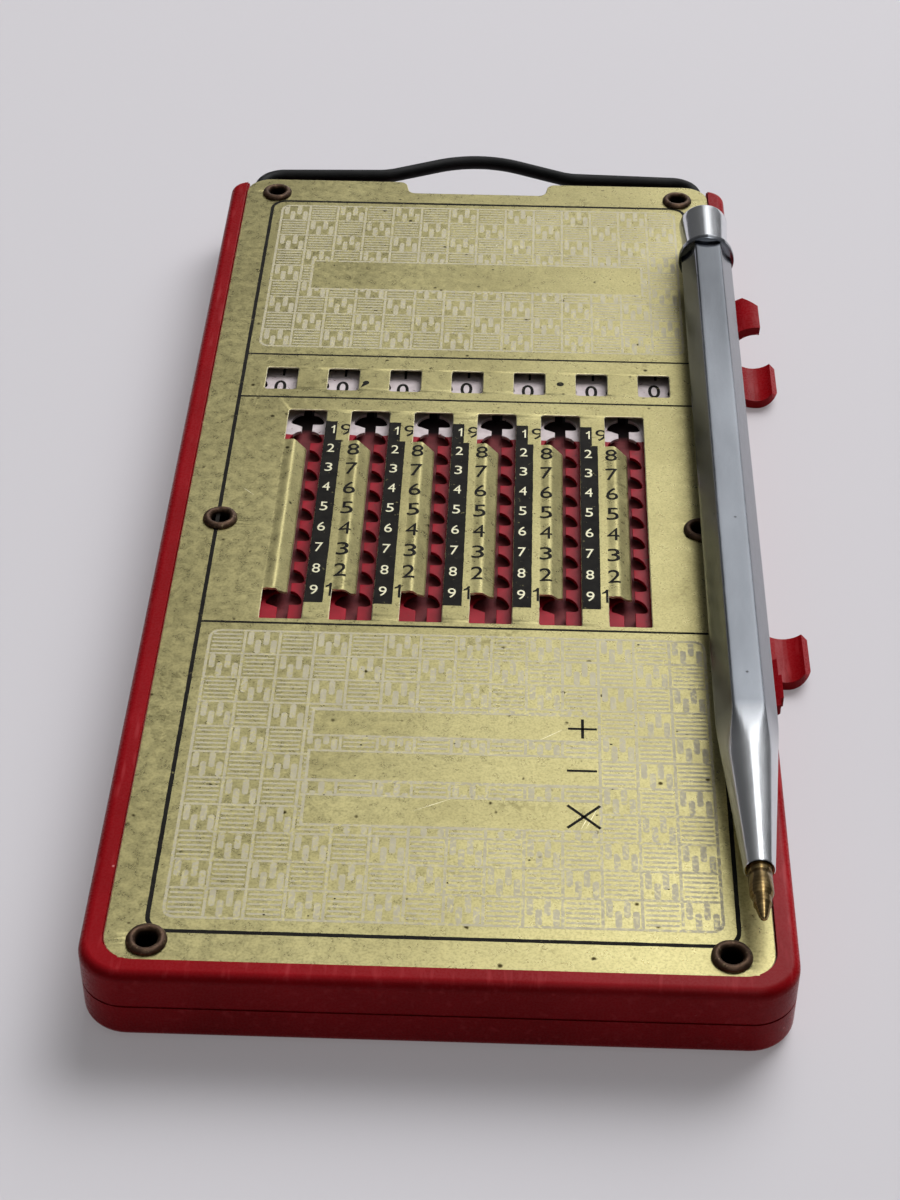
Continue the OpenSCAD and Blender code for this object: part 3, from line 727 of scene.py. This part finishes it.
def make_figures():
    """Pale figures on the strips, dark ones beside and on the lips, and the two marks."""
    light, dark = bmesh.new(), bmesh.new()
    top_light, light_tall, light_wide, on_strip = 12.98, 1.52, 0.84, 2.87
    top_dark, tall, wide, wide_beside, on_lip, bold = 12.8, 2.14, 1.34, 1.3, -1.82, 0.004
    for x in SLOTS[:5]:
        for row, figure in enumerate(FIGURES):
            join(light, writing(figure, light_tall, light_wide, x + on_strip,
                                top_light - row * NOTCH_PITCH, INK_HIGH))
    # The highest and the lowest dark figure stand beside the lip, off their row by so much.
    beside = {0: (-2.88, 0.2), len(FIGURES) - 1: (-2.82, 0.3)}
    for x in SLOTS[1:]:
        for row, figure in enumerate(reversed(FIGURES)):
            y = top_dark - row * NOTCH_PITCH
            if row in beside:
                across, along = beside[row]
                made = writing(figure, tall, wide_beside, x + across, y + along)
            else:
                made = writing(figure, tall, wide, x + on_lip, y,
                               bold=0 if figure == "4" else bold)
            join(dark, draped(made, x))
    for x in SLOTS[1:]:
        over_slot = [face for face in dark.faces
                     if abs(face.calc_center_median().x + PRINT_SHIFT - x) < abs(SLOT_LEFT)
                     and not LIP_LOW < face.calc_center_median().y < LIP_HIGH]
        bmesh.ops.delete(dark, geom=over_slot, context="FACES")
    comma, comma_end, comma_round = Vector((-12.05, 22.37)), (-12.65, 21.35), 0.38
    dot, dot_round = (10.6, 22.97), 0.42
    turns = [math.radians(turn) for turn in range(-45, 225, 18)]
    slab(dark, [(comma.x + comma_round * math.cos(turn), comma.y + comma_round * math.sin(turn))
                for turn in turns] + [comma_end])
    slab(dark, ring_outline(*dot, dot_round, 20))
    printed(light, "printed_pale_figures", LIGHT)
    printed(dark, "printed_dark_figures", DARK)


def stroke(shape, start, end, wide=0.3):
    """A straight inked stroke between two points."""
    start, end = Vector(start), Vector(end)
    side = (end - start).orthogonal().normalized() * wide / 2
    corners = [start - side, end - side, end + side, start + side]
    slab(shape, [(corner.x, corner.y) for corner in corners])


def make_signs():
    """Plus, minus and times in the lower panel."""
    strokes = {"plus_across": ((11.33, -35.9), (14.16, -35.9)),
               "plus_along": ((12.75, -37.24), (12.75, -34.52)),
               "minus": ((11.2, -41.8), (14.1, -41.8)),
               "times_falling": ((11.23, -46.5), (14.34, -49.5)),
               "times_rising": ((11.23, -49.5), (14.34, -46.5))}
    shape = bmesh.new()
    for start, end in strokes.values():
        stroke(shape, start, end)
    printed(shape, "printed_signs", DARK)


def without(rectangle, boxes, least=0.05):
    """What is left of a rectangle (left, low, right, high) outside the plain boxes."""
    parts = [rectangle]
    for left, low, right, high in boxes:
        kept = []
        for l, b, r, t in parts:
            if r <= left or l >= right or t <= low or b >= high:
                kept.append((l, b, r, t))
                continue
            around = ((l, b, r, low), (l, high, r, t),
                      (l, max(b, low), left, min(t, high)),
                      (right, max(b, low), r, min(t, high)))
            kept += [part for part in around
                     if part[2] - part[0] > least and part[3] - part[1] > least]
        parts = kept
    return parts


def tile_bars(kind, left, low):
    """Ink bars of one tile: five level lines, or four bars hanging and standing in turn."""
    if kind == "lines":
        inset, thick, rise = 0.27, 0.27, TILE / 6
        return [(left + inset, low + rise * row - thick / 2, left + TILE - inset,
                 low + rise * row + thick / 2) for row in range(1, 6)]
    start, wide, pitch, reach = 0.32, 0.6, 0.8, 2.2
    bars = []
    for index in range(4):
        side = left + start + index * pitch
        if index % 2 == 0:
            bars.append((side, low + TILE - reach, side + wide, low + TILE - GRID_LINE / 2))
        else:
            bars.append((side, low + GRID_LINE / 2, side + wide, low + reach))
    return bars


def make_pattern():
    """Two panels of checkered tiles in pale print, left plain round the boxes."""
    shape = bmesh.new()
    half, outer_round, inner_round = GRID_LINE / 2, 1.2, 1
    high_ink = INK_HIGH - 0.003
    columns = round(2 * PANEL_X / TILE)
    upper = {"top": 62.0, "rows": 9, "kinds": ("bars", "lines"),
             "plain": [(-20.4, 42.2, 20.85, 48.9)]}
    lower = {"top": -22.45, "rows": 11, "kinds": ("lines", "bars"),
             "plain": [(-13.9, -37.9, 14.55, -33.9), (-13.9, -44.1, 14.55, -39.75),
                       (-13.9, -50.1, 14.55, -45.8)]}
    for panel in (upper, lower):
        top, rows, plain = panel["top"], panel["rows"], panel["plain"]
        low = top - rows * TILE
        ink = [(half - PANEL_X, top - row * TILE - half, PANEL_X - half,
                top - row * TILE + half) for row in range(1, rows)]
        for row in range(rows):
            base = top - (row + 1) * TILE
            for column in range(columns):
                left = column * TILE - PANEL_X
                if column:
                    ink.append((left - half, base + half, left + half, base + TILE - half))
                ink += tile_bars(panel["kinds"][(row + column) % 2], left, base)
        for bar in ink:
            for left, bottom, right, high in without(bar, plain):
                soft = min(right - left, high - bottom) * 0.3
                slab(shape, box_outline(left, bottom, right, high, soft, 1), INK_LOW, high_ink)
        outer = box_outline(-PANEL_X - half, low - half, PANEL_X + half, top + half,
                            outer_round)
        inner = box_outline(half - PANEL_X, low + half, PANEL_X - half, top - half,
                            inner_round)
        join(shape, cut_sheet([outer, inner], INK_LOW, high_ink))
        for left, bottom, right, high in plain:
            outer = box_outline(left, bottom, right, high)
            inner = box_outline(left + GRID_LINE, bottom + GRID_LINE, right - GRID_LINE,
                                high - GRID_LINE)
            join(shape, cut_sheet([outer, inner], INK_LOW, high_ink))
    printed(shape, "printed_pattern", PALE)


# ------------ eyelets

def make_eyelets():
    """Rolled tubular eyelets, each rim a little out of true."""
    tube, bore, bottom, wear = 1.15, 1.01, 2.4, 0.04
    # The curl of the rim, outwards from the bore and upwards from the plate.
    curl = [(0, 0.1), (0.06, 0.32), (0.2, 0.49), (0.38, 0.56), (0.58, 0.5), (0.76, 0.36),
            (0.86, 0.18), (0.85, 0.04), (0.78, 0)]
    section = [(bore, bottom)] + [(bore + out, PLATE_TOP + up) for out, up in curl]
    section += [(tube, PLATE_TOP), (tube, bottom)]
    shape = bmesh.new()
    for x, y in EYELETS:
        join(shape, turned(section, Matrix.Translation((x, y, 0)), 56))
    for vert in shape.verts:
        if vert.co.z > PLATE_TOP + 0.05:
            wave = wobble(vert.co.x * 0.9, vert.co.y * 0.9, 1) * wear
            vert.co += Vector((wave.x, wave.y, -abs(wave.z)))
    finished(shape, "eyelets_rolled", "case", [BRASS], ["eyelets"], 50)


# ------------ slides

def notched_side(half, low, high, slant):
    """One long side of a slide, its notches flat below and hooked above."""
    deep, tall, corner, lean = 1.3, 2.2, 0.45, 1.15
    first, count, steps = -16.9, 19, 8
    side = [(half, low)]
    for index in range(count):
        y = first + index * NOTCH_PITCH
        side.append((half, y - slant))
        for turn in (0, math.pi / 6, math.pi / 3):
            side.append((half - deep + corner * (1 - math.sin(turn)),
                         y + corner * (1 - math.cos(turn))))
        for turn in [math.pi / 2 * step / steps for step in range(steps + 1)]:
            side.append((half - deep * max(0, math.cos(turn)) ** lean,
                         y + corner + (tall - corner) * math.sin(turn) ** lean))
    return side + [(half, high)]


def slide_outline(x, low, high):
    """Outline of a slide about its middle line; its right notches start at a slant."""
    half = (high.x - low.x) / 2
    right = notched_side(half, low.y, high.y, slant=0.45)
    left = notched_side(half, low.y, high.y, slant=0)
    return [(x + px, y) for px, y in right] + [(x - px, y) for px, y in reversed(left)]


def make_slides():
    """Seven painted slides and the figures printed on their white ends."""
    rim, first_figure, tall, wide, bold = 0.05, 22.8, 2.6, 1.42, 0.012
    # How far the figures of each slide are printed off their place, across and along.
    drift = [(-0.19, -0.15), (-0.12, -0.1), (-0.3, -0.3), (-0.1, 0.22), (-0.16, 0.05),
             (0.02, 0.18), (0.13, 0.62)]
    for index, (low, high) in enumerate(SLIDE_BOXES):
        name, body, x = f"slide_{index + 1}", f"slide_body_{index + 1}", COLUMNS[index]
        shape = cut_sheet([slide_outline(x, low, high)], low.z, high.z, rim)
        finished(shape, name + "_painted", body, [PAINT], [name],
                 outward=False)
        figures = bmesh.new()
        across, along = drift[index]
        for value in range(10):
            join(figures, writing(str(value), tall, wide, x + across,
                                  first_figure + along + value * NOTCH_PITCH,
                                  high.z + INK_LOW - PLATE_TOP, bold))
        finished(figures, name + "_figures", body, [DARK])


# ------------ pen

def softer_of(values, soft=0.035):
    """The smallest of some lengths, with the change from one to the next blended."""
    least = min(values)
    return least - soft * math.log(sum(math.exp((least - value) / soft) for value in values))


def barrel_radius(turn, along):
    """Radius of the barrel: six flats, blunt corners, and a cone towards the tip."""
    apothem = BARREL_CORNER * math.cos(math.pi / 6)
    off = (turn + math.pi / 6) % (math.pi / 3) - math.pi / 6
    flats = apothem / math.cos(math.pi / 6 - abs(off))
    cone = CONE_MOUTH + (BARREL_CORNER - CONE_MOUTH) * (along - CONE_START) / CONE_LONG
    return softer_of([flats, BARREL_CORNER - 0.03, cone + 0.02])


def make_barrel():
    """The barrel's skin: rings of points along the axis, outside and back inside."""
    shape = bmesh.new()
    side_turns = (0, 1, 2.2, 4, 8, 16, 30, 44, 52, 56, 57.8, 59)
    turns = [math.radians(60 * side + turn) for side in range(6) for turn in side_turns]
    mouth_chamfer, neck, bore, throat, bore_start = 0.06, 3.13, 1.9, 1.2, 21
    ring_low, neck_low = BARREL_END - 0.9, BARREL_END - 0.4
    outside = [CONE_START, CONE_START + mouth_chamfer]
    outside += [CONE_START + 0.4 + step * 0.5 for step in range(45)]
    outside += [CONE_START + 26 + step * 6 for step in range(13)]
    # None stands for the radius of the six-sided skin.
    stations = [(None, along) for along in outside + [neck_low]]
    stations += [(neck, neck_low), (neck, ring_low + 0.04), (neck + 0.04, ring_low),
                 (RING - 0.05, ring_low), (RING, ring_low + 0.05), (RING, BARREL_END - 0.12),
                 (RING - 0.12, BARREL_END), (bore + 0.15, BARREL_END),
                 (bore, BARREL_END - 0.2), (bore, bore_start), (throat, bore_start - 0.6),
                 (throat, CONE_START + 0.15)]
    rings = []
    for radius, along in stations:
        ring = []
        for turn in turns:
            size = radius or barrel_radius(turn, along)
            if along == CONE_START:
                size -= mouth_chamfer
            ring.append(shape.verts.new((size * math.cos(turn), size * math.sin(turn), along)))
        rings.append([shape.edges.new(pair) for pair in zip(ring, ring[1:] + ring[:1])])
    for first, second in zip(rings, rings[1:] + rings[:1]):
        bmesh.ops.bridge_loops(shape, edges=first + second)
    bmesh.ops.transform(shape, matrix=ALONG_PEN, verts=shape.verts)
    finished(shape, "pen_barrel_plated", "pen", [CHROME], ["pen_barrel"], 14)


def make_crown():
    """Push crown with rolled edges and a shallow dish in its free end."""
    neck, wide, stem, stem_long, steps = 2.6, 2.97, 1.7, 8.3, 8
    low, high = BARREL_END + 0.3, span("pen_crown")[1].y - PEN_POINT
    waist, waist_high = neck + 0.05, low + 0.8
    profile = [(0, low - stem_long), (stem, low - stem_long), (stem, low), (neck - 0.3, low),
               (neck - 0.1, low + 0.06), (neck, low + 0.25), (waist, waist_high)]
    profile += [(waist + (wide - waist) * step / steps,
                 waist_high + (high - 0.45 - waist_high) * step / steps)
                for step in range(1, steps + 1)]
    edge = [(wide - 0.04, high - 0.25), (wide - 0.16, high - 0.08),
            (wide - 0.34, high - 0.01), (wide - 0.6, high - 0.02)]
    dish = [(2.1, high - 0.07), (1.2, high - 0.22), (0, high - 0.3)]
    shape = turned(profile + edge + dish, ALONG_PEN, 64)
    finished(shape, "pen_crown_plated", "pen_inner", [CHROME], ["pen_crown"], 40)


def make_tip():
    """Brass writing tip: ball, nozzle, shoulder and a tube with one groove."""
    wide, groove, long = 1.12, 0.05, 14
    ball = [(0, 0), (0.18, 0.04), (0.32, 0.18), (0.37, 0.4)]
    nozzle = [(0.45, 0.5), (0.74, 1.7), (0.84, 1.78), (0.86, 2.55)]
    shoulder = [(0.94, 2.64), (wide - 0.05, 2.95), (wide, 3.1)]
    tube = [(wide, 5.3), (wide - groove, 5.36), (wide - groove, 5.46), (wide, 5.52),
            (wide, long), (0, long)]
    shape = turned(ball + nozzle + shoulder + tube, ALONG_PEN)
    finished(shape, "pen_tip_turned", "pen_inner", [TURNED], ["pen_tip"], 40)


# ------------ wire and wear

def make_wire():
    """The clearing bar: one black wire with two bent corners and a finger arch."""
    wire, level, sides = 0.87, 6.46, 28
    leg, low, end, leg_bend = 28.55, -62.6, 71.9, 3
    foot, top, foot_bend, top_bend = 11.83, 76.68, 6, 13.8
    lift, lift_half = 0.55, 26
    path = rounded([(-leg, low, 0), (-leg, end, leg_bend), (-foot, end, foot_bend),
                    (0, top, top_bend), (foot, end, foot_bend), (leg, end, leg_bend),
                    (leg, low, 0)], steps=14)
    rise = [math.cos(min(abs(x) / lift_half, 1) * math.pi / 2) ** 2 for x, y in path]
    path = [Vector((x, y, level + lift * up)) for (x, y), up in zip(path, rise)]
    turns = [math.tau * step / sides for step in range(sides)]
    shape = bmesh.new()
    rings = []
    for index, point in enumerate(path):
        along = path[min(index + 1, len(path) - 1)] - path[max(index - 1, 0)]
        side, up = Vector((along.y, -along.x, 0)).normalized() * wire, Vector((0, 0, wire))
        rings.append([shape.verts.new(point + side * math.cos(turn) + up * math.sin(turn))
                      for turn in turns])
    for first, second in zip(rings, rings[1:]):
        for step in range(sides):
            after = (step + 1) % sides
            shape.faces.new((first[step], first[after], second[after], second[step]))
    shape.faces.new(rings[0])
    shape.faces.new(rings[-1])
    finished(shape, "clearing_wire", "clearing", [LACQUER], ["clearing_bar"], 60)


def make_scratches():
    """A few bright scratches and dark nicks in the gold sheet."""
    bright, dark = bmesh.new(), bmesh.new()
    scratches = [((8.6, -37.8), (11.3, -35.9)), ((13.2, -49.6), (14.4, -46.6)),
                 ((12.7, -49.8), (13.6, -47.6)), ((-3.2, -47.9), (1.4, -45.6)),
                 ((-24.2, 1.8), (-22.6, 0.2)), ((2.2, 52.5), (3.6, 54.2))]
    half_wide, widest_at, nicks = 0.035, 0.45, 70
    for start, end in scratches:
        start, end = Vector(start), Vector(end)
        side = (end - start).orthogonal().normalized() * half_wide
        middle = start.lerp(end, widest_at)
        slab(bright, [(corner.x, corner.y) for corner in
                      (start, middle - side, end, middle + side)], high=PLATE_TOP + 0.004)
    maker = random.Random(7)
    for _ in range(nicks):
        x, y = maker.uniform(-25, 25), maker.uniform(-62, 62)
        size = maker.uniform(0.06, 0.17)
        outline = [(x + size * maker.uniform(0.6, 1.3) * math.cos(turn),
                    y + size * maker.uniform(0.4, 0.9) * math.sin(turn))
                   for turn in (0.2, 1.3, 2.2, 3.3, 4.1, 5.3)]
        on_slots, on_windows = abs(y + 2) < 19, abs(y - 22.5) < 3
        if not on_slots and not on_windows:
            slab(dark, outline, high=PLATE_TOP + 0.005)
    finished(bright, "plate_scratches", "case", [EDGE])
    finished(dark, "plate_nicks", "case", [DARK])


def dress_nodes():
    """Finishes on the CAD nodes whose shape stays as it is."""
    kept = {"guide_plate": INNER, "brake_strip": FELT, "clearing_lifter": STEEL,
            "pen_refill": TUBE, "pen_spring": STEEL}
    for node, material in kept.items():
        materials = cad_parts[node].data.materials
        materials.clear()
        materials.append(material)


# ------------ stage

def make_floor():
    """Pale floor that gives off a little light, so that the shadow on it stays pale."""
    shape = bmesh.new()
    bmesh.ops.create_grid(shape, x_segments=1, y_segments=1, size=2.5)
    mesh = bpy.data.meshes.new("floor")
    shape.to_mesh(mesh)
    shape.free()
    mixed = Finish("pale_floor", seen(174, 171, 174), 0.85, Specular_IOR_Level=0.2,
                   Emission_Color=seen(208, 205, 208), Emission_Strength=0.28)
    mesh.materials.append(mixed.material)
    placed("floor", mesh)


def make_camera():
    """The camera fitted to the photograph, moved to the right with the print."""
    data = bpy.data.cameras.new("camera")
    data.sensor_fit = "VERTICAL"
    data.sensor_height = 36
    data.lens = 72.115
    data.clip_start = 0.01
    camera = placed("camera", data)
    camera.location = Vector((5.127 + PRINT_SHIFT, -208.58, 168.529)) * MM
    camera.rotation_mode = "ZYX"
    camera.rotation_euler = [math.radians(turn) for turn in (50.0604, 1.3791, 1.4566)]
    bpy.context.scene.camera = camera


def make_lamp():
    """A soft lamp behind the case on its right, which no glossy face mirrors."""
    data = bpy.data.lights.new("back_window", "AREA")
    data.shape = "RECTANGLE"
    data.size, data.size_y = 400 * MM, 310 * MM
    data.energy = 1.5
    lamp = placed("back_window", data)
    lamp.visible_glossy = False
    lamp.location = Vector((400, 480, 490)) * MM
    lamp.rotation_euler = (-lamp.location).to_track_quat("-Z", "Y").to_euler()


def make_sky():
    """Light from above and behind, and a backdrop of its own for what glossy faces mirror."""
    world = bpy.data.worlds.new("sky")
    bpy.context.scene.world = world
    world.use_nodes = True
    sky = Nodes(world.node_tree)

    # What lights the scene: a glow about the brightest direction, and a dim rest.
    spot = sky.node("ShaderNodeTexCoord").outputs["Generated"]
    brightest = (0.33, 0.71, 0.62)
    facing = sky.node("ShaderNodeVectorMath", {0: spot, 1: brightest},
                      operation="DOT_PRODUCT").outputs["Value"]
    glow = sky.step(facing, 0.88, 1, 0, 10.5)
    rest = sky.step(facing, -0.1, 0.9, 0.03, 0.3)
    plain = sky.node("ShaderNodeBackground", {"Color": (0.97, 0.98, 1, 1),
                                              "Strength": sky.maths("ADD", glow, rest)})

    # The backdrop pales upwards and is brightest in a pane straight behind.
    parts = sky.node("ShaderNodeSeparateXYZ", {0: spot}).outputs
    fade = sky.node("ShaderNodeValToRGB", {0: parts["Z"]})
    ramp = fade.color_ramp
    ramp.elements[0].color = (0.19, 0.19, 0.2, 1)
    ramp.elements[1].color = (1, 1, 1, 1)
    ramp.elements[1].position = 0.92
    for position, grey in ((0.5, 0.22), (0.62, 0.25), (0.75, 0.36)):
        ramp.elements.new(position).color = (grey, grey, grey, 1)
    pane_middle = 0.16
    off_pane = sky.maths("ABSOLUTE", sky.maths("SUBTRACT", parts["X"], pane_middle))
    mirrored = sky.node("ShaderNodeBackground", {
        "Color": fade.outputs[0], "Strength": sky.step(off_pane, 0.02, 0.22, 5.0, 0.48)})

    # What the camera sees beyond the floor is white.
    white = sky.node("ShaderNodeBackground", {"Color": (1, 1, 1, 1)})
    path = sky.node("ShaderNodeLightPath").outputs
    glossy = sky.maths("MAXIMUM", path["Is Glossy Ray"], path["Is Transmission Ray"])
    light = sky.node("ShaderNodeMixShader", {0: glossy, 1: plain.outputs[0],
                                             2: mirrored.outputs[0]})
    shown = sky.node("ShaderNodeMixShader", {0: path["Is Camera Ray"], 1: light.outputs[0],
                                             2: white.outputs[0]})
    sky.plug(sky.tree.nodes["World Output"].inputs[0], shown.outputs[0])


# ------------ the whole

make_floor()
make_camera()
make_lamp()
make_sky()
dressed_copy("lower_case", "case", RED)
dressed_copy("upper_case", "case", RED)
make_wire()
make_face_plate()
make_border()
make_strips()
make_figures()
make_signs()
make_pattern()
make_scratches()
make_eyelets()
make_slides()
make_barrel()
make_crown()
make_tip()
dress_nodes()
bpy.context.scene.view_settings.view_transform = "Standard"
